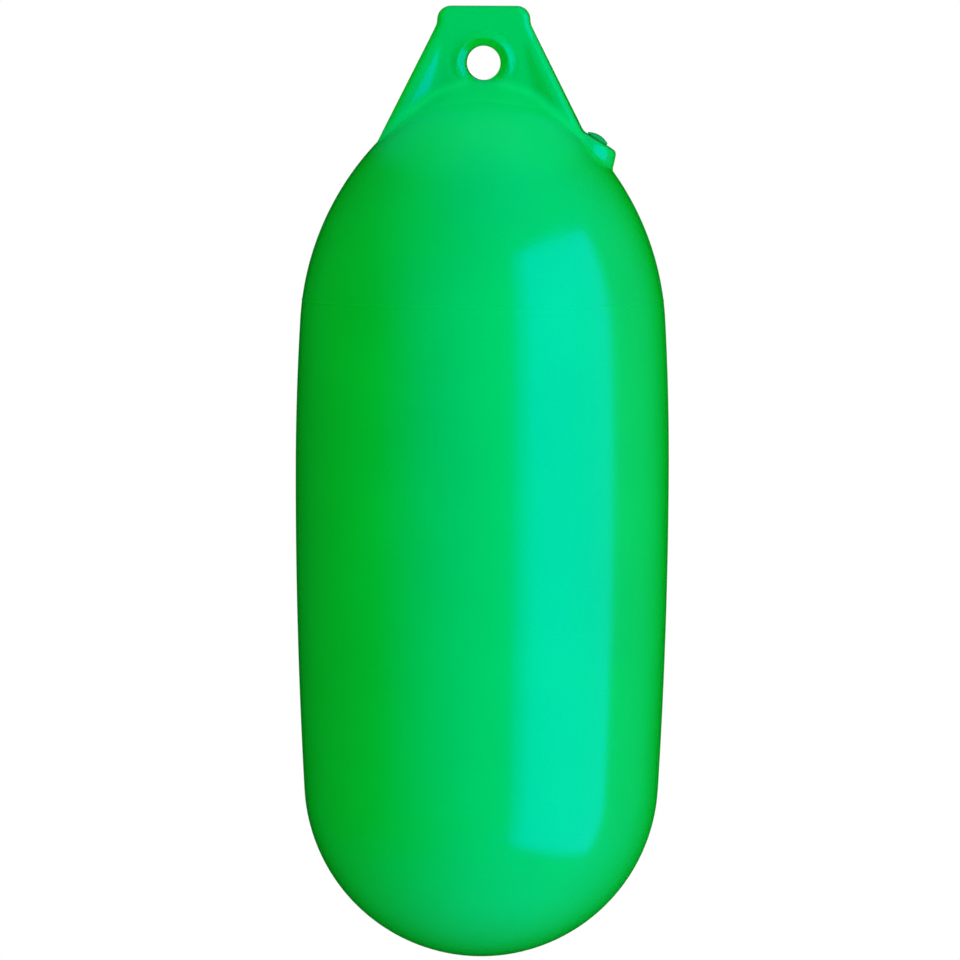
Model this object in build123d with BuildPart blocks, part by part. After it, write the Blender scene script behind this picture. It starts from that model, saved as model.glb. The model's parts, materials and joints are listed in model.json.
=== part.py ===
from build123d import *

import os
from math import acos, atan2, cos, degrees, hypot, radians, sin, sqrt, tan

# Inflatable vinyl buoy that hangs by its moulded rope eye. Millimetres, +Z up.
# The origin is the centre of the eye's bore, which runs along Y.

# Body of revolution about Z
eye_gap = 1.0              # top of the crown below the crest of the eye's bead
body_length = 354.1        # top of the crown to the lowest point of the base
belly_radius = 76.2        # greatest radius
belly_depth = 154.2        # top of the crown down to the greatest girth
belly_arc = 1068.0         # radius of the long arc above the girth
base_slimming = 3.7        # the round base is this much slimmer in radius than the belly
crown_arc = 53.6           # radius of the dome under the eye
crown_turn = 40.9          # degrees that the dome turns before the shoulder takes over
skin_wall = 3.2
crown_wall = 5.0           # the crown is reinforced
crown_margin = 20.0        # crown beyond the valve's boss, along the shoulder
lip_wall = 1.5             # crown's lip over the skin's ledge
lap_length = 8.0           # how far the lip covers the ledge
bond_line = 0.1            # film between bonded faces

# Lug that carries the eye, in the XZ plane
eye_radius = 7.0
eye_lip = 3.4              # radius of the rounded bead round each mouth
bead_seat = 0.9            # the bead starts to round this far inside the plate's faces
lug_top = 23.2             # top of the lug above the eye centre
head_width = 37.8          # width of the lug's head
head_corner = 5.5
head_straight = 0.3        # straight side of the head below its corner
head_thickness = 11.0      # of the plate that makes the head and runs on between the ribs
head_bend = 1.4            # run of the bend below that, where the sides start to spread
lug_reach = 42.47          # half the lug's width where its sides land on the shoulder
plate_round = 3.0          # rounding of the lug's outer edges
rib_start = 13.0           # the ribs begin to stand proud this far below the top
rib_lean = 7.5             # degrees that each rib's face leans outwards
rib_edge = 5.2             # from the lug's edge in to the rib's ridge
rib_slope = 20.5           # degrees that a rib rises from the plate to its ridge
rib_round = 4.0            # rounding of the ridge
rib_root = 8.0             # ribs go on this far above their start, inside the plate
bead_blend = 0.8           # between the eye's bead and what it stands on
foot_blend = 3.0           # between the lug and the crown
root_depth = 10.0          # lug's root below where its edges meet the crown

# Valve beside the lug's foot
valve_reach = 44.6         # from the body's axis to the valve's foot on the crown
valve_lean = 31.0          # degrees that the valve's axis leans outwards from vertical
boss_rise = 3.2            # boss face above the crown, along the valve's axis
boss_radius = 9.5          # at the face
boss_draft = 18.0          # degrees
boss_round = 1.2
neck_radius = 8.0          # where the boss passes through the crown
neck_inside = 2.0          # neck below the crown's inner face, on the valve's axis
bush_radius = 5.4
bush_flange = 6.6
bush_flange_thickness = 1.4
bush_inside = 1.6          # bush beyond the neck's end
screw_radius = 3.5
screw_clearance = 0.25     # round the screw's shank
screw_head_radius = 4.6
screw_head_edge = 0.7      # height of the head's rim
screw_head_dome = 1.3      # rise of the dome above the rim
screw_seat_gap = 0.1       # under the screw's head
screw_length = 14.0        # shank below the head
screw_point = 1.0          # chamfer at the shank's end
slot_width = 1.5
slot_depth = 1.3

# Tangent arcs of the body's outline, as centres (x, z), radii and angles in degrees
bead_crest = eye_radius + eye_lip
crown_z = -(bead_crest + eye_gap)
belly_z = crown_z - belly_depth
base_arc = belly_radius - base_slimming
crown_centre = (0, crown_z - crown_arc)
base_centre = (0, crown_z - body_length + base_arc)
belly_centre = (belly_radius - belly_arc, belly_z)

# The shoulder's arc leaves the crown at crown_turn and runs into the belly's long arc
turn_x = sin(radians(crown_turn))
turn_z = cos(radians(crown_turn))
from_belly_x = crown_arc * turn_x - belly_centre[0]
from_belly_z = crown_centre[1] + crown_arc * turn_z - belly_z
along_turn = from_belly_x * turn_x + from_belly_z * turn_z
shoulder_arc = (belly_arc**2 - hypot(from_belly_x, from_belly_z) ** 2) / (2 * (belly_arc - along_turn))
shoulder_centre = (
    (crown_arc - shoulder_arc) * turn_x,
    crown_centre[1] + (crown_arc - shoulder_arc) * turn_z,
)
shoulder_end = degrees(
    atan2(shoulder_centre[1] - belly_centre[1], shoulder_centre[0] - belly_centre[0])
)

# The lower long arc runs from the girth into the round base
base_drop = belly_z - base_centre[1]
lower_arc = (belly_radius**2 + base_drop**2 - base_arc**2) / (2 * base_slimming)
lower_centre = (belly_radius - lower_arc, belly_z)
lower_end = degrees(atan2(base_drop, -lower_centre[0]))


def on_arc(centre, radius, angle):
    """Point (x, z) of an arc at an angle in degrees."""
    return (centre[0] + radius * cos(radians(angle)), centre[1] + radius * sin(radians(angle)))


def outline_arc(centre, radius, start, end):
    """Arc of the outline from one angle to another, in degrees."""
    return CenterArc(centre, radius, start, end - start)


# Angles on the shoulder's arc of the valve, the crown's lip and the skin's ledge
valve_angle = degrees(acos((valve_reach - shoulder_centre[0]) / shoulder_arc))
boss_foot = boss_radius + boss_rise * tan(radians(boss_draft))
lip_angle = valve_angle - degrees((boss_foot + crown_margin) / shoulder_arc)
ledge_angle = lip_angle + degrees(lap_length / shoulder_arc)
bond_angle = degrees(bond_line / shoulder_arc)

# Where the valve's axis meets the crown, and its frame: local x outwards, local y along the axis
valve_foot = on_arc(shoulder_centre, shoulder_arc, valve_angle)
valve_axis = (sin(radians(valve_lean)), 0, cos(radians(valve_lean)))
valve_face = (
    valve_foot[0] + boss_rise * valve_axis[0],
    0,
    valve_foot[1] + boss_rise * valve_axis[2],
)
valve_section = Plane(origin=valve_face, x_dir=(valve_axis[2], 0, -valve_axis[0]), z_dir=(0, -1, 0))
valve_line = Axis(valve_face, valve_axis)
wall_slant = radians(90 - valve_angle - valve_lean)
neck_end = -(boss_rise + crown_wall / cos(wall_slant) + neck_inside)
bush_end = neck_end - bush_inside
boss_base = neck_end + neck_inside
bush_bore = screw_radius + screw_clearance

# Lug outline heights and half widths from the eye's centre, and the straight length of the bore
head_half = head_width / 2
half_thickness = head_thickness / 2
spread_z = lug_top - head_corner - head_straight - head_bend
rib_z = lug_top - rib_start
eye_wall = head_thickness - 2 * bead_seat

# Height where the lug's sides land on the shoulder's arc, their spread, and the root below
foot_z = shoulder_centre[1] + sqrt(shoulder_arc**2 - (lug_reach - shoulder_centre[0]) ** 2)
edge_slope = (lug_reach - head_half) / (spread_z - foot_z)
bend_radius = head_bend / tan(atan2(edge_slope, 1) / 2)
lug_base = foot_z - root_depth


def lug_edge(z):
    """Half width of the lug at a height on its spreading sides."""
    return head_half + (spread_z - z) * edge_slope


def rib_face(z):
    """Half thickness of the lug over its ribs at a height."""
    return half_thickness + (rib_z - z) * tan(radians(rib_lean))


def rib_ridge(z):
    """Distance of a rib's ridge from the middle of the lug at a height."""
    return lug_edge(z) - rib_edge


def rib_inside(z):
    """Distance from the middle of the lug at which a rib's two slopes meet inside the plate."""
    return rib_ridge(z) - rib_face(z) / tan(radians(rib_slope))


def above_dome(point):
    """Height of a point above the outer face of the crown and shoulder."""
    reach = hypot(point.X, point.Y)
    if point.Z > crown_centre[1] + crown_arc * turn_z:
        return hypot(reach, point.Z - crown_centre[1]) - crown_arc
    return hypot(reach - shoulder_centre[0], point.Z - shoulder_centre[1]) - shoulder_arc


def runs_down(edge):
    """Whether an edge runs down the lug and not across it."""
    return abs((edge @ 0).Z - (edge @ 1).Z) > rib_root


def outside_crest(edge):
    """Whether an edge lies outside the crest of the eye's bead."""
    middle = edge @ 0.5
    return hypot(middle.X, middle.Z) > bead_crest


# Body shell: hollow skin from the base up to the ledge under the crown's lip
with BuildPart() as body_shell:
    with BuildSketch(Plane.XZ):
        with BuildLine():
            ledge_radius = shoulder_arc - lip_wall - bond_line
            inner = shoulder_arc - skin_wall
            outline_arc(shoulder_centre, shoulder_arc, lip_angle, shoulder_end)
            outline_arc(belly_centre, belly_arc, shoulder_end, 0)
            outline_arc(lower_centre, lower_arc, 0, -lower_end)
            outline_arc(base_centre, base_arc, -lower_end, -90)
            Line(
                on_arc(base_centre, base_arc, -90),
                on_arc(base_centre, base_arc - skin_wall, -90),
            )
            outline_arc(base_centre, base_arc - skin_wall, -90, -lower_end)
            outline_arc(lower_centre, lower_arc - skin_wall, -lower_end, 0)
            outline_arc(belly_centre, belly_arc - skin_wall, 0, shoulder_end)
            outline_arc(shoulder_centre, inner, shoulder_end, ledge_angle)
            Line(
                on_arc(shoulder_centre, inner, ledge_angle),
                on_arc(shoulder_centre, ledge_radius, ledge_angle),
            )
            outline_arc(shoulder_centre, ledge_radius, ledge_angle, lip_angle)
            Line(
                on_arc(shoulder_centre, ledge_radius, lip_angle),
                on_arc(shoulder_centre, shoulder_arc, lip_angle),
            )
        make_face()
    revolve(axis=Axis.Z)

# Rib along one side of the lug: a tapered loft with a rounded ridge
with BuildPart() as rib:
    for z in (lug_base, rib_z + rib_root):
        with BuildSketch(Plane.XY.offset(z)):
            with BuildLine():
                Polyline(
                    (lug_edge(z), -rib_face(z)),
                    (lug_edge(z), rib_face(z)),
                    (rib_ridge(z), rib_face(z)),
                    (rib_inside(z), 0),
                    (rib_ridge(z), -rib_face(z)),
                    close=True,
                )
            make_face()
    loft(ruled=True)
    fillet(rib.edges().filter_by(runs_down).sort_by(Axis.X)[1:3], rib_round)
    fillet(rib.edges().filter_by(runs_down).sort_by(Axis.X)[-2:], plate_round)

# Lug: a rounded plate with a rib along each spreading side
with BuildPart() as lug:
    with BuildSketch(Plane.XZ) as front:
        with BuildLine():
            Polyline(
                (-lug_edge(lug_base), lug_base),
                (-head_half, spread_z),
                (-head_half, lug_top),
                (head_half, lug_top),
                (head_half, spread_z),
                (lug_edge(lug_base), lug_base),
                close=True,
            )
        make_face()
        fillet(front.vertices().group_by(Axis.Y)[-1], head_corner)
        fillet(front.vertices().filter_by(lambda v: abs(v.Y - spread_z) < 0.01), bend_radius)
    extrude(amount=half_thickness, both=True)
    rims = lug.edges().filter_by(Axis.Y, reverse=True).filter_by(lambda e: e.center().Z > foot_z)
    fillet(rims, plate_round)
    add(rib.part)
    mirror(rib.part, about=Plane.YZ)

# Rope eye: the lug on the thick crown, whose lip laps over the skin's ledge, pierced by the beaded eye
with BuildPart() as rope_eye:
    lip_radius = shoulder_arc - lip_wall
    inner = shoulder_arc - crown_wall
    crown_end = 90 - crown_turn
    with BuildSketch(Plane.XZ):
        with BuildLine():
            outline_arc(crown_centre, crown_arc, 90, crown_end)
            outline_arc(shoulder_centre, shoulder_arc, crown_end, lip_angle + bond_angle)
            Line(
                on_arc(shoulder_centre, shoulder_arc, lip_angle + bond_angle),
                on_arc(shoulder_centre, lip_radius, lip_angle + bond_angle),
            )
            outline_arc(shoulder_centre, lip_radius, lip_angle + bond_angle, ledge_angle + bond_angle)
            Line(
                on_arc(shoulder_centre, lip_radius, ledge_angle + bond_angle),
                on_arc(shoulder_centre, inner, ledge_angle + bond_angle),
            )
            outline_arc(shoulder_centre, inner, ledge_angle + bond_angle, crown_end)
            outline_arc(crown_centre, crown_arc - crown_wall, crown_end, 90)
            Line(
                on_arc(crown_centre, crown_arc - crown_wall, 90),
                on_arc(crown_centre, crown_arc, 90),
            )
        make_face()
    revolve(axis=Axis.Z)
    add(lug.part)
    foot_line = rope_eye.edges(Select.NEW).filter_by(lambda e: abs(above_dome(e.center())) < 0.01)
    fillet(foot_line, foot_blend)
    # Beaded eye
    with BuildSketch(Plane.XZ):
        Circle(bead_crest)
    extrude(amount=head_thickness, both=True, mode=Mode.SUBTRACT)
    with BuildSketch(Plane.XY):
        with Locations((bead_crest, 0)):
            SlotCenterToCenter(eye_wall, 2 * eye_lip, rotation=90)
    revolve(axis=Axis.Y)
    fillet(rope_eye.edges(Select.NEW).filter_by(outside_crest), bead_blend)
    # The air space below the crown cuts off the lug's root
    with BuildSketch(Plane.XZ):
        with BuildLine():
            air_edge = on_arc(shoulder_centre, inner, ledge_angle + bond_angle)
            outline_arc(crown_centre, crown_arc - crown_wall, 90, crown_end)
            outline_arc(shoulder_centre, inner, crown_end, ledge_angle + bond_angle)
            Polyline(
                air_edge,
                (0, air_edge[1]),
                on_arc(crown_centre, crown_arc - crown_wall, 90),
            )
        make_face()
    revolve(axis=Axis.Z, mode=Mode.SUBTRACT)
    uncut_eye = rope_eye.part
    # Hole for the valve's neck
    with BuildSketch(valve_section):
        Rectangle(neck_radius + bond_line, -2 * neck_end, align=(Align.MIN, Align.MAX))
    revolve(axis=valve_line, mode=Mode.SUBTRACT)

# Valve boss: a drafted collar that seats on the crown and the lug's foot, with a neck through the crown
with BuildPart() as valve_boss:
    boss_flare = -boss_base * tan(radians(boss_draft))
    with BuildSketch(valve_section) as collar:
        with BuildLine():
            Polyline(
                (0, 0),
                (boss_radius, 0),
                (boss_radius + boss_flare, boss_base),
                (0, boss_base),
                close=True,
            )
        make_face()
        fillet(collar.vertices().sort_by_distance((boss_radius, 0))[0], boss_round)
    revolve(axis=valve_line)
    add(uncut_eye, mode=Mode.SUBTRACT)
    with BuildSketch(valve_section):
        Rectangle(neck_radius, -neck_end, align=(Align.MIN, Align.MAX))
    revolve(axis=valve_line)
    with BuildSketch(valve_section):
        Rectangle(bush_radius + bond_line, -2 * neck_end, align=(Align.MIN, Align.MAX))
        Rectangle(bush_flange + bond_line, bush_flange_thickness + bond_line, align=(Align.MIN, Align.MAX))
    revolve(axis=valve_line, mode=Mode.SUBTRACT)

# Valve bush: a flanged plastic lining for the screw
with BuildPart() as valve_bush:
    with BuildSketch(valve_section):
        with BuildLine():
            Polyline(
                (bush_bore, 0),
                (bush_flange, 0),
                (bush_flange, -bush_flange_thickness),
                (bush_radius, -bush_flange_thickness),
                (bush_radius, bush_end),
                (bush_bore, bush_end),
                close=True,
            )
        make_face()
    revolve(axis=valve_line)

# Valve screw: domed, slotted head and a pointed shank
with BuildPart() as valve_screw:
    head_rim = screw_seat_gap + screw_head_edge
    dome_arc = (screw_head_radius**2 + screw_head_dome**2) / (2 * screw_head_dome)
    dome_top = head_rim + screw_head_dome
    shank_end = screw_seat_gap - screw_length
    with BuildSketch(valve_section):
        with BuildLine():
            Polyline(
                (0, dome_top),
                (0, shank_end),
                (screw_radius - screw_point, shank_end),
                (screw_radius, shank_end + screw_point),
                (screw_radius, screw_seat_gap),
                (screw_head_radius, screw_seat_gap),
                (screw_head_radius, head_rim),
            )
            RadiusArc((screw_head_radius, head_rim), (0, dome_top), -dome_arc)
        make_face()
    revolve(axis=valve_line)
    with BuildSketch(valve_section):
        with Locations((0, dome_top)):
            Rectangle(slot_width, 2 * slot_depth)
    extrude(amount=screw_head_radius, both=True, mode=Mode.SUBTRACT)

pieces = {
    "body_shell": body_shell,
    "rope_eye": rope_eye,
    "valve_boss": valve_boss,
    "valve_bush": valve_bush,
    "valve_screw": valve_screw,
}
os.makedirs("parts", exist_ok=True)
for name, piece in pieces.items():
    piece.part.label = name
    export_step(piece.part, "parts/" + name + ".step")
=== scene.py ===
import json
import math

import bmesh
import bpy
from bpy.props import FloatProperty, FloatVectorProperty, IntProperty, PointerProperty
from mathutils import Matrix, Vector


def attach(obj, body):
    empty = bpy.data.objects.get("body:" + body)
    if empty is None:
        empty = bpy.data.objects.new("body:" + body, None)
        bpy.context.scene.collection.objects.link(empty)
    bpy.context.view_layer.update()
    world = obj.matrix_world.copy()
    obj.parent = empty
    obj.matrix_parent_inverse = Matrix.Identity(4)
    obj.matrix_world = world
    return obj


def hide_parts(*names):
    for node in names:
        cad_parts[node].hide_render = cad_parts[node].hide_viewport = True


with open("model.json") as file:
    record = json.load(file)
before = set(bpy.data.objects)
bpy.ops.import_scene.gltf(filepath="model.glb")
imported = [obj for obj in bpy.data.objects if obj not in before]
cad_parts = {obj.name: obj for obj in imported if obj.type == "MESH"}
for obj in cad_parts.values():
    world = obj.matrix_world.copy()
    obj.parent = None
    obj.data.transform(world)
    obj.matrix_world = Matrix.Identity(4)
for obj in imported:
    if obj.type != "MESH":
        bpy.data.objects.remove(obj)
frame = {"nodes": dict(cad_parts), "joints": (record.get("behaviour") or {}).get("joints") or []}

bl_info = {
    "name": "Inflatable buoy",
    "version": (1, 0, 0),
    "blender": (4, 5, 0),
    "location": "3D View > Sidebar > Buoy",
    "description": "Dresses the hanging vinyl buoy with its moulding, valve and studio",
    "category": "Object",
}

VALVE_AXIS = Vector(frame["joints"][0]["axis"]).normalized()

# Tint of the tent and of the lamps that show in the gloss
COOL = (0.03, 0.65, 1.0)

# Middle of the stage, which the tent surrounds and the lamps face
MIDDLE = Vector((0.0, 0.0, -0.18))
TENT_RADIUS = 1.4
SENSOR = 36.0  # width of the camera's sensor in millimetres


# Sizes and colours that a user would change

class MouldingSettings(bpy.types.PropertyGroup):
    """Sizes of the vinyl moulding."""

    segments: IntProperty(
        name="Segments", description="Steps of the spun body", default=256, min=64, max=384)
    cut_height: FloatProperty(
        name="Cap height", description="Where the cap with the eye meets the spun body",
        default=-0.0485, unit="LENGTH")
    voxel: FloatProperty(
        name="Cap detail", description="Size of the cap's mesh", default=0.00064, unit="LENGTH")
    softening: IntProperty(
        name="Softening", description="Passes that soften the cap's moulded edges", default=6)
    crest: FloatProperty(
        name="Crest", description="Height of the eye's crest over the lug's faces",
        default=0.0012, unit="LENGTH", precision=5)
    funnel: FloatProperty(
        name="Funnel", description="Depth of the eye's funnel below the lug's faces",
        default=0.0018, unit="LENGTH", precision=5)
    mouth_reach: FloatProperty(
        name="Mouth reach", description="What lies this near the eye's mouth is drawn onto it",
        default=0.0010, unit="LENGTH", precision=5)
    web: FloatProperty(
        name="Web", description="Reach of the flared web between the eye and the crown",
        default=0.021, unit="LENGTH")
    web_rise: FloatProperty(
        name="Web rise", description="Height of the web against the lug", default=0.0042, unit="LENGTH")
    web_passes: IntProperty(
        name="Web passes", description="Passes that soften the web", default=300)
    dome_reach: FloatProperty(
        name="Dome reach", description="What lies this near the crown is drawn onto it",
        default=0.0004, unit="LENGTH", precision=5)
    parting_height: FloatProperty(
        name="Parting line", description="Height of the mould's parting line",
        default=-0.0965, unit="LENGTH")
    parting_rise: FloatProperty(
        name="Parting rise", description="How far the parting line stands proud",
        default=0.00016, unit="LENGTH", precision=5)
    parting_width: FloatProperty(
        name="Parting width", description="Width of the parting line",
        default=0.0011, unit="LENGTH", precision=5)
    colour: FloatVectorProperty(
        name="Vinyl", description="Colour of the vinyl", subtype="COLOR",
        size=3, default=(0.0, 0.5, 0.014), min=0.0, max=1.0)


class ValveSettings(bpy.types.PropertyGroup):
    """Sizes of the valve's bush and screw."""

    face: FloatVectorProperty(
        name="Face", description="Centre of the boss's face", subtype="TRANSLATION",
        size=3, default=(0.04625, 0.0, -0.03099))
    boss: FloatProperty(
        name="Boss", description="Radius of the boss's face", default=0.0095, unit="LENGTH")
    rim_passes: IntProperty(
        name="Rim passes", description="Passes that round the boss's rim", default=16)
    bore: FloatProperty(
        name="Bore", description="Radius of the bush's bore", default=0.00375, unit="LENGTH")
    bush: FloatProperty(
        name="Bush", description="Radius of the bush", default=0.0054, unit="LENGTH")
    flange: FloatProperty(
        name="Flange", description="Radius of the bush's flange", default=0.0066, unit="LENGTH")
    flange_height: FloatProperty(
        name="Flange height", description="Thickness of the flange", default=0.0014, unit="LENGTH")
    bush_length: FloatProperty(
        name="Bush length", description="Length of the bush", default=0.0119, unit="LENGTH")
    head: FloatProperty(
        name="Head", description="Radius of the screw's head", default=0.0046, unit="LENGTH")
    head_rim: FloatProperty(
        name="Head rim", description="Height of the head's rim", default=0.0007, unit="LENGTH")
    head_dome: FloatProperty(
        name="Head dome", description="Rise of the head's dome", default=0.0013, unit="LENGTH")
    seat_gap: FloatProperty(
        name="Seat gap", description="Gap under the head", default=0.0001, unit="LENGTH", precision=5)
    shank: FloatProperty(
        name="Shank", description="Radius over the thread", default=0.0035, unit="LENGTH")
    shank_length: FloatProperty(
        name="Shank length", description="Length below the head", default=0.014, unit="LENGTH")
    pitch: FloatProperty(
        name="Pitch", description="Pitch of the thread", default=0.0015, unit="LENGTH")
    slot: FloatProperty(
        name="Slot", description="Width of the driver's slot", default=0.0015, unit="LENGTH")
    slot_depth: FloatProperty(
        name="Slot depth", description="Depth of the driver's slot", default=0.0013, unit="LENGTH")
    colour: FloatVectorProperty(
        name="Valve plastic", description="Colour of the bush and screw", subtype="COLOR",
        size=3, default=(0.004, 0.33, 0.05), min=0.0, max=1.0)


class StageSettings(bpy.types.PropertyGroup):
    """Camera and floor."""

    distance: FloatProperty(
        name="Camera distance", description="From the buoy's axis", default=3.0, unit="LENGTH")
    camera_turn: FloatProperty(
        name="Camera turn", description="Round to the valve's side",
        default=math.radians(3.0), subtype="ANGLE")
    camera_height: FloatProperty(
        name="Camera height", description="Above the eye", default=0.04, unit="LENGTH")
    camera_roll: FloatProperty(
        name="Camera roll", description="Lean of the picture", default=math.radians(0.2), subtype="ANGLE")
    aim_height: FloatProperty(
        name="Aim height", description="Middle of the picture", default=-0.1702, unit="LENGTH")
    aim_side: FloatProperty(
        name="Aim side", description="Middle of the picture, sideways", default=-0.0009, unit="LENGTH",
        precision=5)
    field: FloatProperty(
        name="Field", description="Width of the picture at the buoy", default=0.3922, unit="LENGTH")
    floor_height: FloatProperty(
        name="Floor", description="Height of the floor", default=-1.8, unit="LENGTH")


# Helpers that work on the active mesh

def deselect_all():
    """Leaves edit mode and clears the selection."""
    if bpy.context.object and bpy.context.object.mode != "OBJECT":
        bpy.ops.object.mode_set(mode="OBJECT")
    bpy.ops.object.select_all(action="DESELECT")


def make_active(piece):
    """Selects one object alone."""
    deselect_all()
    piece.select_set(True)
    bpy.context.view_layer.objects.active = piece


def select_open_edges(piece):
    """Selects the edges round a piece's openings; leaves edit mode on."""
    make_active(piece)
    bpy.ops.object.mode_set(mode="EDIT")
    bpy.ops.mesh.select_mode(type="EDGE")
    bpy.ops.mesh.select_all(action="DESELECT")
    mesh = bmesh.from_edit_mesh(piece.data)
    for edge in mesh.edges:
        if edge.is_boundary:
            edge.select_set(True)
    mesh.select_flush_mode()
    bmesh.update_edit_mesh(piece.data)


def spun_piece(name, profile, steps):
    """A profile of (radius, height) points, extruded point by point and spun round Z."""
    deselect_all()
    bpy.ops.mesh.primitive_plane_add(size=0.001)
    piece = bpy.context.object
    piece.name = piece.data.name = name
    bpy.ops.object.mode_set(mode="EDIT")
    bpy.ops.mesh.select_mode(type="VERT")
    bpy.ops.mesh.select_all(action="SELECT")
    bpy.ops.mesh.merge(type="CENTER")
    bpy.ops.transform.translate(value=(profile[0][0], 0, profile[0][1]))
    for start, end in zip(profile, profile[1:]):
        bpy.ops.mesh.extrude_vertices_move(
            TRANSFORM_OT_translate={"value": (end[0] - start[0], 0, end[1] - start[1])})
    bpy.ops.mesh.select_all(action="SELECT")
    bpy.ops.mesh.spin(steps=steps, angle=2 * math.pi, center=(0, 0, 0), axis=(0, 0, 1))
    bpy.ops.mesh.select_all(action="SELECT")
    bpy.ops.mesh.remove_doubles(threshold=1e-6)
    bpy.ops.mesh.normals_make_consistent(inside=False)
    bpy.ops.object.mode_set(mode="OBJECT")
    return piece


def apply_modifier(piece, kind, **settings):
    """Adds a modifier with its settings and applies it."""
    make_active(piece)
    modifier = piece.modifiers.new(kind.title(), kind)
    for key, value in settings.items():
        setattr(modifier, key, value)
    bpy.ops.object.modifier_apply(modifier=modifier.name)


def soften(piece, name, weigh, passes):
    """Smooths a piece where a function of a point gives it weight."""
    group = piece.vertex_groups.new(name=name)
    for vertex in piece.data.vertices:
        weight = weigh(vertex.co)
        if weight > 0:
            group.add([vertex.index], weight, "REPLACE")
    apply_modifier(piece, "SMOOTH", factor=0.5, iterations=passes, vertex_group=name)


def join_pieces(pieces, name):
    """Joins meshes into the first one."""
    make_active(pieces[0])
    for piece in pieces[1:]:
        piece.select_set(True)
    bpy.ops.object.join()
    pieces[0].name = pieces[0].data.name = name
    return pieces[0]


def place_on_valve(piece, face):
    """Turns a piece from Z onto the valve's axis and moves it to the boss's face."""
    turn = VALVE_AXIS.to_track_quat("Z", "Y").to_matrix().to_4x4()
    piece.data.transform(Matrix.Translation(face) @ turn)
    piece.data.update()


def arc_points(centre, radius, start, end, count):
    """Points (radius, height) along an arc from one angle to another, in degrees."""
    points = []
    for step in range(count + 1):
        angle = math.radians(start + (end - start) * step / count)
        points.append((centre[0] + radius * math.cos(angle), centre[1] + radius * math.sin(angle)))
    return points


# The body's outline, as arcs of (centre, radius) in metres
CROWN = ((0.0, -0.065), 0.0536)
SHOULDER = ((-0.03990, -0.11106), 0.11454)
BELLY = ((-0.99180, -0.1656), 1.068)
LOWER = ((-2.19150, -0.1656), 2.26770)
BASE = ((0.0, -0.2930), 0.0725)
CROWN_END = 49.1
SHOULDER_END = 3.28
LOWER_END = -3.327
SEAM = 0.0012  # gap between the cap and the spun body, which is bridged
PLATE = 0.0055  # half the thickness of the lug between its ribs
WEB_HALF = 0.031  # half the width of the web's sheet

# The rope eye's radii: throat, crest of the bead and where the bead runs out
THROAT, CREST, BEAD = 0.0070, 0.0104, 0.0140

# Where the cap's forms fade, as (full up to, gone from) in metres
WEB_SPAN = (0.008, 0.029)  # the web, to each side of the eye
CREASE_SPAN = (0.010, 0.028)  # the softening over the web, to each side of the eye
CREASE_REACH = (0.003, 0.012)  # the softening, away from the crease
THROAT_GUARD = (0.0076, 0.0105)  # what the softening spares, from the bore's axis
MOUTH_DROP = (0.003, 0.0085)  # the drawn mouth, below the bore's axis
RIM_REACH = (0.0010, 0.0026)  # the rounding, away from the boss's rim

THREAD_DEPTH = 0.55  # depth of the screw's thread as a share of its pitch


def body_profile(settings):
    """Outline of the body from the cap's edge to the pole of the base, with the parting line."""
    top = math.degrees(math.asin((settings.cut_height - SEAM - SHOULDER[0][1]) / SHOULDER[1]))
    points = arc_points(*SHOULDER, top, SHOULDER_END, 26)
    points += arc_points(*BELLY, SHOULDER_END, 0, 10)[1:]
    points += arc_points(*LOWER, 0, LOWER_END, 18)[1:]
    points += arc_points(*BASE, LOWER_END, -90, 44)[1:]
    points[-1] = (0.0, points[-1][1])
    half = settings.parting_width / 2
    kept = [point for point in points if abs(point[1] - settings.parting_height) > 1.6 * half]
    for offset, rise in ((half, 0), (half / 3, 1), (-half / 3, 1), (-half, 0)):
        height = settings.parting_height + offset
        reach = SHOULDER[0][0] + math.sqrt(SHOULDER[1] ** 2 - (height - SHOULDER[0][1]) ** 2)
        kept.append((reach + rise * settings.parting_rise, height))
    return sorted(kept, key=lambda point: -point[1])


def on_dome(point, reach):
    """A point of the cap, drawn onto the crown and shoulder's arcs where it lies near them."""
    radius = math.hypot(point.x, point.y)
    turn = CROWN[0][1] + CROWN[1] * math.sin(math.radians(CROWN_END))
    centre, arc = CROWN if point.z > turn else SHOULDER
    way = Vector((radius - centre[0], point.z - centre[1]))
    share = min(abs(way.length - arc) / reach, 1.0)
    if radius == 0.0 or share == 1.0:
        return point
    height = (way.length - arc) * share * share * (3 - 2 * share)
    spot = Vector(centre) + way.normalized() * (arc + height)
    return Vector((point.x * spot.x / radius, point.y * spot.x / radius, spot.y))


def fade(value, start, end):
    """1 up to the start, 0 from the end, with a smooth change between."""
    share = min(max((value - start) / (end - start), 0.0), 1.0)
    return 1 - share * share * (3 - 2 * share)


def mouth_height(reach, settings):
    """Height of the eye's mouth from the lug's middle, at a distance from the bore's axis."""
    if reach < CREST:
        share = (reach - THROAT) / (CREST - THROAT)
        return PLATE - settings.funnel + (settings.funnel + settings.crest) * share
    share = (reach - CREST) / (BEAD - CREST)
    return PLATE + settings.crest * (1 - share) ** 2


def on_mouth(point, settings):
    """A point of the cap, drawn onto the eye's funnel and crest where it lies near them, above the web."""
    reach = math.hypot(point.x, point.z)
    wall = 0.0003
    if not THROAT + wall < reach < BEAD or abs(point.y) < PLATE - settings.funnel:
        return point
    height = mouth_height(reach, settings)
    away = abs(point.y) - height
    pull = fade(abs(away), 0.0, settings.mouth_reach) * fade(-point.z, *MOUTH_DROP)
    return Vector((point.x, math.copysign(height + away * (1 - pull), point.y), point.z))


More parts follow.
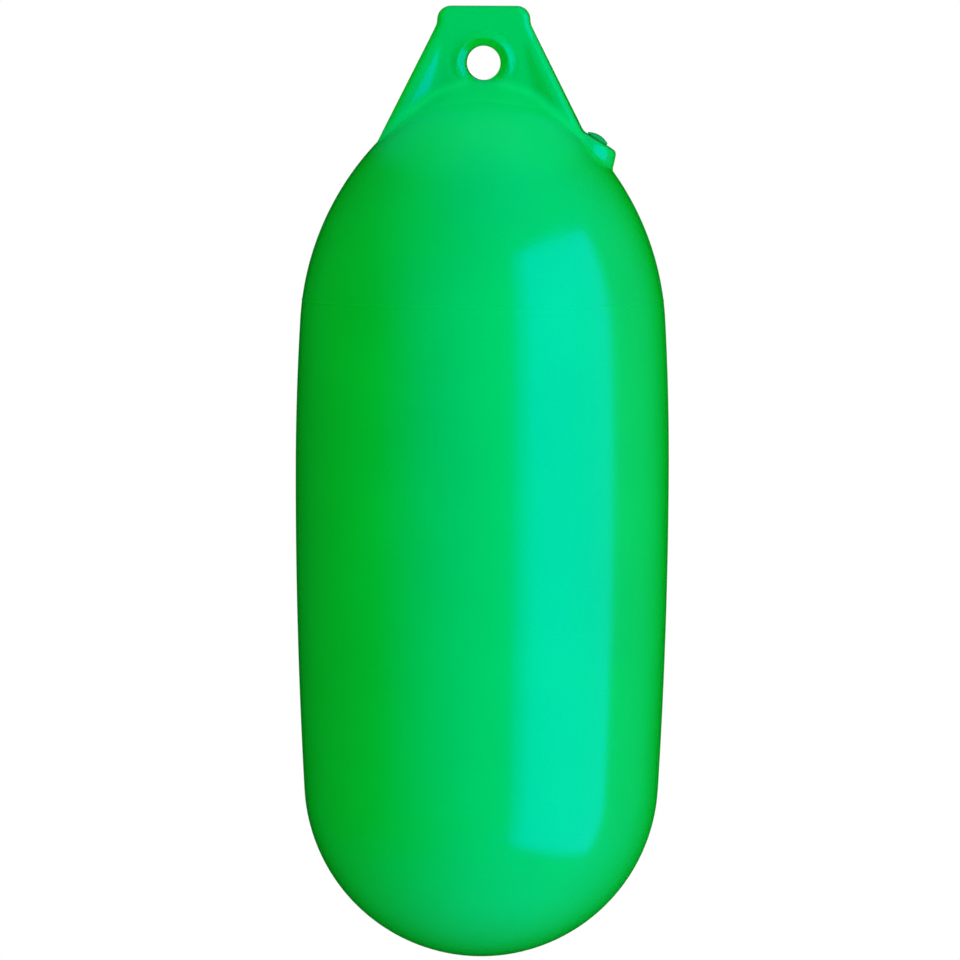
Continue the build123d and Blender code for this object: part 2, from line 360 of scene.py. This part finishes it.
def web_top(x, y, settings):
    """Height of the flared web over a point of the crown."""
    away = min(max(abs(y) - PLATE, 0.0) / settings.web, 1.0)
    rise = settings.web_rise * (1 - away) ** 2 * fade(abs(x), *WEB_SPAN)
    return CROWN[0][1] + math.sqrt(CROWN[1] ** 2 - x ** 2 - y ** 2) + rise


def web_weight(point, settings):
    """How far a point of the cap belongs to the crease between the web and the lug, from 0 to 1."""
    if abs(point.x) > CREASE_SPAN[1]:
        return 0.0
    away = math.hypot(abs(point.y) - PLATE, point.z - web_top(point.x, PLATE, settings))
    throat = fade(math.hypot(point.x, point.z), *THROAT_GUARD)
    return fade(abs(point.x), *CREASE_SPAN) * fade(away, *CREASE_REACH) * (1 - throat)


def rim_weight(point, valve):
    """How far a point of the cap belongs to the rim of the valve's boss, from 0 to 1."""
    way = point - Vector(valve.face)
    height = way.dot(VALVE_AXIS)
    reach = (way - height * VALVE_AXIS).length
    return fade(math.hypot(reach - valve.boss, height), *RIM_REACH)


def node_copy(name):
    """A merged copy of a CAD node's mesh."""
    piece = frame["nodes"][name].copy()
    piece.data = frame["nodes"][name].data.copy()
    piece.parent = None
    piece.matrix_world = Matrix.Identity(4)
    bpy.context.scene.collection.objects.link(piece)
    make_active(piece)
    bpy.ops.object.mode_set(mode="EDIT")
    bpy.ops.mesh.select_all(action="SELECT")
    bpy.ops.mesh.remove_doubles(threshold=1e-6)
    bpy.ops.mesh.customdata_custom_splitnormals_clear()
    bpy.ops.object.mode_set(mode="OBJECT")
    return piece


# Shader nodes, and the groups that the materials share

def add_node(tree, kind, inputs=None, **settings):
    """A shader node with its settings, and with values on its sockets."""
    node = tree.nodes.new("ShaderNode" + kind)
    for key, value in settings.items():
        setattr(node, key, value)
    for key, value in (inputs or {}).items():
        node.inputs[key].default_value = value
    return node


def smooth_range(tree, start, end, share=1.0):
    """A node that maps a value smoothly from 0 at the start to a share at the end."""
    return add_node(tree, "MapRange", {"From Min": start, "From Max": end, "To Max": share},
                    interpolation_type="SMOOTHSTEP")


def new_group(name, inputs, outputs):
    """An empty shader node group with its sockets."""
    group = bpy.data.node_groups.new(name, "ShaderNodeTree")
    for label, kind, default in inputs:
        socket = group.interface.new_socket(label, in_out="INPUT", socket_type=kind)
        socket.default_value = default
    for label, kind in outputs:
        group.interface.new_socket(label, in_out="OUTPUT", socket_type=kind)
    return group, group.nodes.new("NodeGroupInput"), group.nodes.new("NodeGroupOutput")


def moulded_grain():
    """Fine orange peel of a moulded skin, with a slow unevenness under it."""
    group, source, sink = new_group(
        "Moulded grain",
        [("Scale", "NodeSocketFloat", 900.0), ("Unevenness", "NodeSocketFloat", 30.0),
         ("Share", "NodeSocketFloat", 0.5)],
        [("Height", "NodeSocketFloat")])
    link = group.links.new
    place = add_node(group, "TexCoord")
    fine = add_node(group, "TexNoise", {"Detail": 2.0})
    slow = add_node(group, "TexNoise", {"Detail": 1.0})
    blend = add_node(group, "Mix")
    link(place.outputs["Object"], fine.inputs["Vector"])
    link(place.outputs["Object"], slow.inputs["Vector"])
    link(source.outputs["Scale"], fine.inputs["Scale"])
    link(source.outputs["Unevenness"], slow.inputs["Scale"])
    link(source.outputs["Share"], blend.inputs["Factor"])
    link(fine.outputs["Fac"], blend.inputs["A"])
    link(slow.outputs["Fac"], blend.inputs["B"])
    link(blend.outputs["Result"], sink.inputs["Height"])
    return group


def pigment_drift():
    """Slight cloudy drift of a pigment between two shades, with a fine speckle."""
    group, source, sink = new_group(
        "Pigment drift",
        [("Pale", "NodeSocketColor", (1, 1, 1, 1)), ("Deep", "NodeSocketColor", (0, 0, 0, 1)),
         ("Cloud size", "NodeSocketFloat", 22.0), ("Speckle size", "NodeSocketFloat", 1400.0)],
        [("Colour", "NodeSocketColor")])
    link = group.links.new
    place = add_node(group, "TexCoord")
    cloud = add_node(group, "TexNoise", {"Detail": 3.0})
    speckle = add_node(group, "TexNoise", {"Detail": 1.0})
    both = add_node(group, "Mix", {"Factor": 0.3})
    spread = add_node(group, "MapRange", {"From Min": 0.34, "From Max": 0.66})
    tone = add_node(group, "Mix", data_type="RGBA")
    link(place.outputs["Object"], cloud.inputs["Vector"])
    link(place.outputs["Object"], speckle.inputs["Vector"])
    link(source.outputs["Cloud size"], cloud.inputs["Scale"])
    link(source.outputs["Speckle size"], speckle.inputs["Scale"])
    link(cloud.outputs["Fac"], both.inputs["A"])
    link(speckle.outputs["Fac"], both.inputs["B"])
    link(both.outputs["Result"], spread.inputs["Value"])
    link(spread.outputs["Result"], tone.inputs["Factor"])
    link(source.outputs["Pale"], tone.inputs["A"])
    link(source.outputs["Deep"], tone.inputs["B"])
    link(tone.outputs["Result"], sink.inputs["Colour"])
    return group


def handling_marks_and_sheen():
    """Rubs as a roughness, a painted sheen over the crown near the eye that also roughens it a little, and
    a dulling of the gloss of the crown and the lug.
    """
    group, source, sink = new_group(
        "Handling marks and painted sheen",
        [("Clean", "NodeSocketFloat", 0.2), ("Rubbed", "NodeSocketFloat", 0.3),
         ("Mark size", "NodeSocketFloat", 40.0), ("Painted sheen strength", "NodeSocketFloat", 0.0)],
        [("Roughness", "NodeSocketFloat"), ("Painted sheen", "NodeSocketFloat"), ("Dulling", "NodeSocketFloat")])
    link = group.links.new
    place = add_node(group, "TexCoord")
    stretch = add_node(group, "Mapping", {"Scale": (1.0, 1.0, 0.25)})
    rubs = add_node(group, "TexNoise", {"Detail": 5.0, "Distortion": 0.6})
    spread = add_node(group, "MapRange", {"From Min": 0.42, "From Max": 0.72})
    link(place.outputs["Object"], stretch.inputs["Vector"])
    link(stretch.outputs["Vector"], rubs.inputs["Vector"])
    link(source.outputs["Mark size"], rubs.inputs["Scale"])
    link(rubs.outputs["Fac"], spread.inputs["Value"])
    link(source.outputs["Clean"], spread.inputs["To Min"])
    link(source.outputs["Rubbed"], spread.inputs["To Max"])

    # Mask of the painted sheen: near the eye by height, and on the crown by the distance from its centre,
    # less so towards the ribs
    height = add_node(group, "SeparateXYZ")
    near_eye = smooth_range(group, -0.055, -0.015)
    off_ribs = add_node(group, "Mapping", {"Scale": (1.12, 1.0, 1.0)})
    from_middle = add_node(group, "VectorMath", {1: (0.0, 0.0, CROWN[0][1])}, operation="DISTANCE")
    on_crown = smooth_range(group, CROWN[1] + 0.0072, CROWN[1] + 0.0034)
    on_lug = add_node(group, "MapRange", {"To Min": 0.25})
    link(place.outputs["Object"], height.inputs["Vector"])
    link(height.outputs["Z"], near_eye.inputs["Value"])
    link(source.outputs["Painted sheen strength"], near_eye.inputs["To Max"])
    link(place.outputs["Object"], off_ribs.inputs["Vector"])
    link(off_ribs.outputs["Vector"], from_middle.inputs[0])
    link(from_middle.outputs["Value"], on_crown.inputs["Value"])
    link(on_crown.outputs["Result"], on_lug.inputs["Value"])

    # The painted sheen's mask, which also adds a little roughness where it lies
    painted_sheen_mask = add_node(group, "Math", operation="MULTIPLY")
    dulling = add_node(group, "Math", operation="MULTIPLY")
    worn = add_node(group, "Math", {1: 0.05}, operation="MULTIPLY_ADD")
    link(near_eye.outputs["Result"], painted_sheen_mask.inputs[0])
    link(on_crown.outputs["Result"], painted_sheen_mask.inputs[1])
    link(near_eye.outputs["Result"], dulling.inputs[0])
    link(on_lug.outputs["Result"], dulling.inputs[1])
    link(painted_sheen_mask.outputs["Value"], worn.inputs[0])
    link(spread.outputs["Result"], worn.inputs[2])
    link(painted_sheen_mask.outputs["Value"], sink.inputs["Painted sheen"])
    link(dulling.outputs["Value"], sink.inputs["Dulling"])
    link(worn.outputs["Value"], sink.inputs["Roughness"])
    return group


def shared_group(maker, name):
    """A shader node group, built once."""
    return bpy.data.node_groups.get(name) or maker()


def moulded_material(name, colour, grain, marks, bump, tint):
    """A moulded plastic with pigment drift, grain and handling marks, and with a painted sheen over the
    crown near the eye if the marks ask for it.
    """
    material = bpy.data.materials.new(name)
    material.use_nodes = True
    tree = material.node_tree
    link = tree.links.new
    shader = tree.nodes["Principled BSDF"]
    shader.inputs["IOR"].default_value = 1.9
    shader.inputs["Specular Tint"].default_value = (*tint, 1)
    shades = {
        "Pale": (colour[0], colour[1] * 1.04, colour[2] * 1.1, 1),
        "Deep": (colour[0], colour[1] * 0.95, colour[2] * 0.88, 1),
    }
    drift = add_node(tree, "Group", shades, node_tree=shared_group(pigment_drift, "Pigment drift"))
    rubs = add_node(tree, "Group", marks, node_tree=shared_group(handling_marks_and_sheen, "Handling marks and painted sheen"))
    skin = add_node(tree, "Group", grain, node_tree=shared_group(moulded_grain, "Moulded grain"))
    relief = add_node(tree, "Bump", {"Strength": bump[0], "Distance": bump[1]})
    link(rubs.outputs["Roughness"], shader.inputs["Roughness"])
    link(skin.outputs["Height"], relief.inputs["Height"])
    link(relief.outputs["Normal"], shader.inputs["Normal"])
    if "Painted sheen strength" not in marks:
        link(drift.outputs["Colour"], shader.inputs["Base Color"])
        return material
    # Painted sheen: near the eye the crown's base colour turns paler and bluer, standing in for reflected
    # light, while its gloss is lowered there
    painted_sheen_colour = (colour[0], colour[1] * 1.14, colour[2] + 0.10, 1)
    painted_sheen = add_node(tree, "Mix", {"B": painted_sheen_colour}, data_type="RGBA")
    sheen = add_node(tree, "MapRange", {"To Min": 0.5, "To Max": 0.06})
    link(drift.outputs["Colour"], painted_sheen.inputs["A"])
    link(rubs.outputs["Painted sheen"], painted_sheen.inputs["Factor"])
    link(rubs.outputs["Dulling"], sheen.inputs["Value"])
    link(painted_sheen.outputs["Result"], shader.inputs["Base Color"])
    link(sheen.outputs["Result"], shader.inputs["Specular IOR Level"])
    return material


def dress(piece, material, slot, body, *nodes):
    """Gives a finished piece its material and body, and hides the CAD nodes it stands for. The slot is not
    used.
    """
    piece.data.materials.clear()
    piece.data.materials.append(material)
    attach(piece, body)
    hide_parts(*nodes)


# Pieces

class BUOY_OT_moulding(bpy.types.Operator):
    """Makes the seamless vinyl moulding: spun body, crown, rope eye and valve boss"""

    bl_idname = "object.buoy_moulding"
    bl_label = "Vinyl moulding"

    def execute(self, context):
        settings = context.scene.buoy_moulding
        valve = context.scene.buoy_valve
        cap = self.cap(settings, valve)
        body = spun_piece("vinyl_moulding", body_profile(settings), settings.segments)
        body = join_pieces([body, cap], "vinyl_moulding")
        select_open_edges(body)
        bpy.ops.mesh.bridge_edge_loops()
        bpy.ops.mesh.select_all(action="SELECT")
        bpy.ops.mesh.normals_make_consistent(inside=False)
        bpy.ops.object.mode_set(mode="OBJECT")
        bpy.ops.object.shade_smooth()
        # The vinyl gets a painted sheen, a paler and bluer colour standing in for reflected light, over
        # the crown near the eye
        material = moulded_material(
            "Gloss vinyl", settings.colour,
            {"Scale": 700.0, "Unevenness": 45.0, "Share": 0.45},
            {"Clean": 0.16, "Rubbed": 0.22, "Mark size": 38.0, "Painted sheen strength": 1.0},
            (0.12, 0.0004), (0.0, 0.5, 1.0))
        dress(body, material, "vinyl", "float", "body_shell", "rope_eye", "valve_boss")
        return {"FINISHED"}

    def web(self, settings):
        """The flare that carries the lug's face down into the crown, sunk a little at its ends."""
        deselect_all()
        bpy.ops.mesh.primitive_grid_add(x_subdivisions=90, y_subdivisions=90, size=2.0)
        web = bpy.context.object
        sunk = 0.0002
        sheet = 0.003
        for vertex in web.data.vertices:
            x = vertex.co.x * WEB_HALF
            y = vertex.co.y * (settings.web + 2 * PLATE)
            vertex.co = (x, y, web_top(x, y, settings) - sunk)
        apply_modifier(web, "SOLIDIFY", thickness=sheet, offset=-1.0)
        return web

    def turned_eye(self, settings):
        """A copy of the rope eye with its mouths turned to a funnel and a low crest."""
        eye = node_copy("rope_eye")
        clear = 0.0001
        outer = 3 * PLATE
        profile = [
            (0.0, PLATE - settings.funnel),
            (THROAT, PLATE - settings.funnel),
            (CREST, PLATE + settings.crest),
            (BEAD, PLATE + clear),
            (BEAD, outer),
            (0.0, outer),
        ]
        for side in (1, -1):
            cutter = spun_piece("mouth_cutter", profile, 128)
            cutter.data.transform(Matrix.Rotation(side * math.pi / 2, 4, "X"))
            apply_modifier(eye, "BOOLEAN", operation="DIFFERENCE", object=cutter, solver="EXACT")
            bpy.data.objects.remove(cutter)
        return eye

    def cap(self, settings, valve):
        """The crown with the rope eye and the boss, as one soft skin cut level."""
        sunk = 0.0025
        plug_end = 27
        film = 0.0001
        spare = 0.001
        fill = arc_points(CROWN[0], CROWN[1] - sunk, 90, CROWN_END, 24)
        fill += arc_points(SHOULDER[0], SHOULDER[1] - sunk, CROWN_END, plug_end, 16)[1:]
        fill[0] = (0.0, fill[0][1])
        fill.append((0.0, fill[-1][1]))
        plug = spun_piece("cap_plug", fill, 128)
        deselect_all()
        bpy.ops.mesh.primitive_cylinder_add(
            vertices=64, radius=valve.bush + film, depth=2 * valve.shank_length + spare)
        drill = bpy.context.object
        place_on_valve(drill, valve.face)
        apply_modifier(plug, "BOOLEAN", operation="DIFFERENCE", object=drill, solver="EXACT")
        bpy.data.objects.remove(drill)
        eye = [self.web(settings), self.turned_eye(settings)]
        cap = join_pieces([plug, *eye, node_copy("valve_boss")], "cap")
        apply_modifier(cap, "REMESH", mode="VOXEL", voxel_size=settings.voxel, adaptivity=0.0)
        apply_modifier(cap, "SMOOTH", factor=0.5, iterations=settings.softening)
        soften(cap, "web", lambda point: web_weight(point, settings), settings.web_passes)
        soften(cap, "rim", lambda point: rim_weight(point, valve), valve.rim_passes)
        make_active(cap)
        bpy.ops.object.mode_set(mode="EDIT")
        bpy.ops.mesh.select_all(action="SELECT")
        bpy.ops.mesh.bisect(
            plane_co=(0, 0, settings.cut_height), plane_no=(0, 0, 1), clear_inner=True)
        bpy.ops.object.mode_set(mode="OBJECT")
        for vertex in cap.data.vertices:
            vertex.co = on_mouth(on_dome(vertex.co, settings.dome_reach), settings)
        cap.data.update()
        return cap


class BUOY_OT_valve_bush(bpy.types.Operator):
    """Makes the flanged bush that lines the valve"""

    bl_idname = "object.buoy_valve_bush"
    bl_label = "Valve bush"

    def execute(self, context):
        valve = context.scene.buoy_valve
        ease = 0.00025
        bush = spun_piece("valve_lining", [
            (valve.bore, -valve.bush_length),
            (valve.bore, -ease),
            (valve.bore + ease, 0.0),
            (valve.flange - ease, 0.0),
            (valve.flange, -ease),
            (valve.flange, -valve.flange_height),
            (valve.bush, -valve.flange_height),
            (valve.bush, -valve.bush_length),
            (valve.bore, -valve.bush_length),
        ], 96)
        place_on_valve(bush, valve.face)
        make_active(bush)
        bpy.ops.object.shade_smooth_by_angle(angle=math.radians(30))
        dress(bush, valve_material(valve), "valve_plastic", "float", "valve_bush")
        return {"FINISHED"}


class BUOY_OT_valve_screw(bpy.types.Operator):
    """Makes the slotted valve screw with its thread"""

    bl_idname = "object.buoy_valve_screw"
    bl_label = "Valve screw"

    def execute(self, context):
        valve = context.scene.buoy_valve
        screw = join_pieces([self.head(valve), self.thread(valve)], "valve_plug")
        place_on_valve(screw, valve.face)
        make_active(screw)
        bpy.ops.object.shade_smooth_by_angle(angle=math.radians(30))
        dress(screw, valve_material(valve), "valve_plastic", "screw", "valve_screw")
        return {"FINISHED"}

    def head(self, valve):
        """Domed head with a slot, on a plain core."""
        rim = valve.seat_gap + valve.head_rim
        dome = (valve.head ** 2 + valve.head_dome ** 2) / (2 * valve.head_dome)
        top = rim + valve.head_dome
        half = math.degrees(math.asin(valve.head / dome))
        core = valve.shank - THREAD_DEPTH * valve.pitch
        ease = 0.0002
        chamfer = 0.001
        tip = valve.seat_gap - valve.shank_length
        profile = arc_points((0.0, top - dome), dome, 90, 90 - half, 14)
        profile[0] = (0.0, top)
        profile += [
            (valve.head, valve.seat_gap + ease),
            (valve.head - ease, valve.seat_gap),
            (core, valve.seat_gap),
            (core, tip + chamfer),
            (core - chamfer, tip),
            (0.0, tip),
        ]
        head = spun_piece("screw_head", profile, 96)
        deselect_all()
        bpy.ops.mesh.primitive_cube_add(size=1, location=(0, 0, top))
        cutter = bpy.context.object
        cutter.scale = (valve.slot, 4 * valve.head, 2 * valve.slot_depth)
        bpy.ops.object.transform_apply(location=True, rotation=True, scale=True)
        apply_modifier(head, "BOOLEAN", operation="DIFFERENCE", object=cutter, solver="EXACT")
        bpy.data.objects.remove(cutter)
        return head

    def thread(self, valve):
        """Helical ridge round the core, closed at both ends."""
        core = valve.shank - THREAD_DEPTH * valve.pitch
        plain = 0.0025
        lead = 0.0008
        sunk = 0.0002
        turns = int((valve.shank_length - plain) / valve.pitch)
        start = valve.seat_gap - valve.shank_length + lead
        deselect_all()
        bpy.ops.mesh.primitive_plane_add(size=0.001)
        ridge = bpy.context.object
        bpy.ops.object.mode_set(mode="EDIT")
        mesh = bmesh.from_edit_mesh(ridge.data)
        inner = core - sunk
        root = 0.42 * valve.pitch
        tip = 0.12 * valve.pitch
        corners = [
            (inner, 0, start - root), (valve.shank, 0, start - tip),
            (valve.shank, 0, start + tip), (inner, 0, start + root),
        ]
        mesh.faces.ensure_lookup_table()
        for vertex, corner in zip(mesh.faces[0].verts, corners):
            vertex.co = corner
        bmesh.update_edit_mesh(ridge.data)
        bpy.ops.object.mode_set(mode="OBJECT")
        apply_modifier(
            ridge, "SCREW", steps=48, render_steps=48, iterations=turns,
            screw_offset=valve.pitch, angle=2 * math.pi, use_merge_vertices=False)
        make_active(ridge)
        bpy.ops.object.mode_set(mode="EDIT")
        bpy.ops.mesh.select_all(action="SELECT")
        bpy.ops.mesh.remove_doubles(threshold=1e-7)
        bpy.ops.mesh.normals_make_consistent(inside=False)
        bpy.ops.object.mode_set(mode="OBJECT")
        return ridge


def valve_material(valve):
    """Satin plastic of the bush and the screw."""
    return bpy.data.materials.get("Satin valve plastic") or moulded_material(
        "Satin valve plastic", valve.colour,
        {"Scale": 2600.0, "Unevenness": 300.0, "Share": 0.2},
        {"Clean": 0.34, "Rubbed": 0.48, "Mark size": 220.0},
        (0.2, 0.0001), (0.0, 0.5, 0.3))


def seen_rays(tree):
    """1 for rays from the camera, from gloss and through glass, 0 for the rest."""
    path = add_node(tree, "LightPath")
    direct = add_node(tree, "Math", operation="MAXIMUM")
    every = add_node(tree, "Math", operation="MAXIMUM")
    tree.links.new(path.outputs["Is Camera Ray"], direct.inputs[0])
    tree.links.new(path.outputs["Is Glossy Ray"], direct.inputs[1])
    tree.links.new(direct.outputs["Value"], every.inputs[0])
    tree.links.new(path.outputs["Is Transmission Ray"], every.inputs[1])
    return every.outputs["Value"]


class BUOY_OT_stage(bpy.types.Operator):
    """Sets the floor, the lamps, the world and the camera"""

    bl_idname = "object.buoy_stage"
    bl_label = "Studio"

    def execute(self, context):
        stage = context.scene.buoy_stage
        self.floor(stage)
        self.world(context)
        self.screen()
        self.lamps()
        self.camera(context, stage)
        context.scene.view_settings.view_transform = "Standard"
        return {"FINISHED"}

    def floor(self, stage):
        """A pale floor, white to the camera."""
        deselect_all()
        bpy.ops.mesh.primitive_circle_add(
            vertices=96, radius=9.0, fill_type="NGON", location=(0, 0, stage.floor_height))
        floor = bpy.context.object
        floor.name = "studio_floor"
        bpy.ops.object.transform_apply(location=True, rotation=True, scale=True)
        material = bpy.data.materials.new("Studio floor")
        material.use_nodes = True
        tree = material.node_tree
        shader = tree.nodes["Principled BSDF"]
        shader.inputs["Base Color"].default_value = (0.9, 0.9, 0.9, 1)
        shader.inputs["Roughness"].default_value = 0.8
        shader.inputs["Emission Color"].default_value = (1, 1, 1, 1)
        lift = add_node(tree, "Math", {1: 0.5}, operation="MULTIPLY")
        tree.links.new(seen_rays(tree), lift.inputs[0])
        tree.links.new(lift.outputs["Value"], shader.inputs["Emission Strength"])
        floor.data.materials.append(material)

    def world(self, context):
        """White to the camera and to reflections, a plain level of soft light otherwise."""
        world = bpy.data.worlds.new("Studio")
        context.scene.world = world
        world.use_nodes = True
        tree = world.node_tree
        link = tree.links.new
        tree.nodes.clear()
        soft = add_node(tree, "Background", {"Color": (1, 1, 1, 1), "Strength": 0.35})
        white = add_node(tree, "Background", {"Color": (1, 1, 1, 1), "Strength": 1.0})
        mix = add_node(tree, "MixShader")
        out = add_node(tree, "OutputWorld")
        link(seen_rays(tree), mix.inputs["Fac"])
        link(soft.outputs["Background"], mix.inputs[1])
        link(white.outputs["Background"], mix.inputs[2])
        link(mix.outputs["Shader"], out.inputs["Surface"])

    def screen(self):
        """A round tent that only reflections see: bright in front and to the right, dark on the left."""
        deselect_all()
        bpy.ops.mesh.primitive_uv_sphere_add(
            segments=96, ring_count=48, radius=TENT_RADIUS, location=MIDDLE)
        screen = bpy.context.object
        screen.name = "studio_tent"
        bpy.ops.object.transform_apply(location=True, rotation=True, scale=True)
        material = bpy.data.materials.new("Studio tent")
        material.use_nodes = True
        tree = material.node_tree
        link = tree.links.new
        tree.nodes.clear()
        place = add_node(tree, "TexCoord")
        unit = add_node(tree, "Mapping", {
            "Location": -MIDDLE / TENT_RADIUS,
            "Scale": (1 / TENT_RADIUS, 1 / TENT_RADIUS, 1 / TENT_RADIUS),
        })
        way = add_node(tree, "SeparateXYZ")
        across = add_node(tree, "MapRange", {"From Min": -1.0})
        level = add_node(tree, "ValToRGB")
        stops = (
            (-1.0, 0.01), (-0.87, 0.07), (-0.44, 0.45), (0.0, 0.8), (0.34, 1.0), (0.8, 1.0), (1.0, 0.7),
        )
        while len(level.color_ramp.elements) < len(stops):
            level.color_ramp.elements.new(0.5)
        for element, (side, grey) in zip(level.color_ramp.elements, stops):
            element.position = side / 2 + 0.5
            element.color = (grey, grey, grey, 1)
        aslant = add_node(tree, "Math", {1: -0.16}, operation="MULTIPLY_ADD")
        front = smooth_range(tree, 0.9, -0.3)
        overhead = smooth_range(tree, 0.4, 0.85, 0.6)
        lit = add_node(tree, "Math", operation="MAXIMUM")
        share = add_node(tree, "Math", operation="MULTIPLY")
        power = add_node(tree, "Math", {1: 1.54}, operation="MULTIPLY")
        glow = add_node(tree, "Emission", {"Color": (*COOL, 1)})
        out = add_node(tree, "OutputMaterial")
        link(place.outputs["Object"], unit.inputs["Vector"])
        link(unit.outputs["Vector"], way.inputs["Vector"])
        link(way.outputs["X"], across.inputs["Value"])
        link(across.outputs["Result"], level.inputs["Fac"])
        link(way.outputs["X"], aslant.inputs[0])
        link(way.outputs["Y"], aslant.inputs[2])
        link(aslant.outputs["Value"], front.inputs["Value"])
        link(way.outputs["Z"], overhead.inputs["Value"])
        link(front.outputs["Result"], lit.inputs[0])
        link(overhead.outputs["Result"], lit.inputs[1])
        link(level.outputs["Color"], share.inputs[0])
        link(lit.outputs["Value"], share.inputs[1])
        link(share.outputs["Value"], power.inputs[0])
        link(power.outputs["Value"], glow.inputs["Strength"])
        link(glow.outputs["Emission"], out.inputs["Surface"])
        screen.data.materials.append(material)
        screen.visible_camera = False
        screen.visible_diffuse = False
        screen.visible_shadow = False
        screen.visible_transmission = False

    def lamps(self):
        """A tall softbox on the right, a wide fill on the left, and lights above, below and behind."""
        # Name, turn and tilt in degrees, distance, width and height in metres, watts,
        # whether it lights the matt colour, whether it shows in the gloss
        table = (
            ("key_softbox", 57, -2, 0.80, 1.18, 1.42, 6.8, True, False),
            ("key_gloss", 55, -2, 0.78, 0.99, 1.38, 6.2, False, True),
            ("key_core", 59, -2, 0.77, 0.85, 1.36, 4.4, False, True),
            ("front_fill", -25, 8, 1.6, 1.6, 1.6, 13.0, True, False),
            ("top_light", 10, 75, 1.1, 1.0, 1.0, 4.6, True, False),
            ("low_fill", 10, -50, 1.2, 1.2, 0.8, 3.1, True, False),
            ("side_fill", 105, 0, 0.9, 0.8, 1.4, 2.0, True, False),
            ("back_fill", 195, 10, 1.6, 1.4, 1.6, 10.0, True, False),
        )
        for name, turn, tilt, reach, width, height, power, diffuse, glossy in table:
            azimuth = math.radians(turn)
            rise = math.radians(tilt)
            way = Vector((math.sin(azimuth), -math.cos(azimuth), 0.0)) * math.cos(rise)
            way.z = math.sin(rise)
            bpy.ops.object.light_add(type="AREA", location=MIDDLE + way * reach)
            lamp = bpy.context.object
            lamp.name = name
            lamp.rotation_euler = way.to_track_quat("Z", "Y").to_euler()
            lamp.data.shape = "RECTANGLE"
            lamp.data.size = width
            lamp.data.size_y = height
            lamp.data.energy = power
            if not diffuse:
                lamp.data.color = COOL
            lamp.visible_camera = False
            lamp.visible_diffuse = diffuse
            lamp.visible_glossy = glossy

    def camera(self, context, stage):
        """A long lens a little to the right of the buoy's front and level with its eye."""
        turn = stage.camera_turn
        side = Vector((math.cos(turn), math.sin(turn), 0))
        place = Vector((math.sin(turn), -math.cos(turn), 0)) * stage.distance
        place += side * stage.aim_side + Vector((0, 0, stage.camera_height))
        aim = side * stage.aim_side + Vector((0, 0, stage.aim_height))
        data = bpy.data.cameras.new("Photo camera")
        camera = bpy.data.objects.new("Photo camera", data)
        context.scene.collection.objects.link(camera)
        look = (aim - place).to_track_quat("-Z", "Y").to_matrix()
        camera.rotation_euler = (look @ Matrix.Rotation(stage.camera_roll, 3, "Z")).to_euler()
        camera.location = place
        data.sensor_width = SENSOR
        data.lens = SENSOR * (aim - place).length / stage.field
        data.clip_end = 100.0
        context.scene.camera = camera


class VIEW3D_PT_buoy(bpy.types.Panel):
    """Lists the buoy's pieces and sizes in the sidebar"""

    bl_label = "Inflatable buoy"
    bl_space_type = "VIEW_3D"
    bl_region_type = "UI"
    bl_category = "Buoy"

    def draw(self, context):
        scene = context.scene
        for group, operators in (
            (scene.buoy_moulding, ("object.buoy_moulding",)),
            (scene.buoy_valve, ("object.buoy_valve_bush", "object.buoy_valve_screw")),
            (scene.buoy_stage, ("object.buoy_stage",)),
        ):
            box = self.layout.box()
            for name in group.__annotations__:
                box.prop(group, name)
            for operator in operators:
                box.operator(operator)


CLASSES = (
    MouldingSettings,
    ValveSettings,
    StageSettings,
    BUOY_OT_moulding,
    BUOY_OT_valve_bush,
    BUOY_OT_valve_screw,
    BUOY_OT_stage,
    VIEW3D_PT_buoy,
)


def register():
    for cls in CLASSES:
        bpy.utils.register_class(cls)
    bpy.types.Scene.buoy_moulding = PointerProperty(type=MouldingSettings)
    bpy.types.Scene.buoy_valve = PointerProperty(type=ValveSettings)
    bpy.types.Scene.buoy_stage = PointerProperty(type=StageSettings)


def unregister():
    del bpy.types.Scene.buoy_stage
    del bpy.types.Scene.buoy_valve
    del bpy.types.Scene.buoy_moulding
    for cls in reversed(CLASSES):
        bpy.utils.unregister_class(cls)


def main():
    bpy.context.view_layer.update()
    register()
    bpy.ops.object.buoy_moulding()
    bpy.ops.object.buoy_valve_bush()
    bpy.ops.object.buoy_valve_screw()
    bpy.ops.object.buoy_stage()


if __name__ == "__main__":
    main()
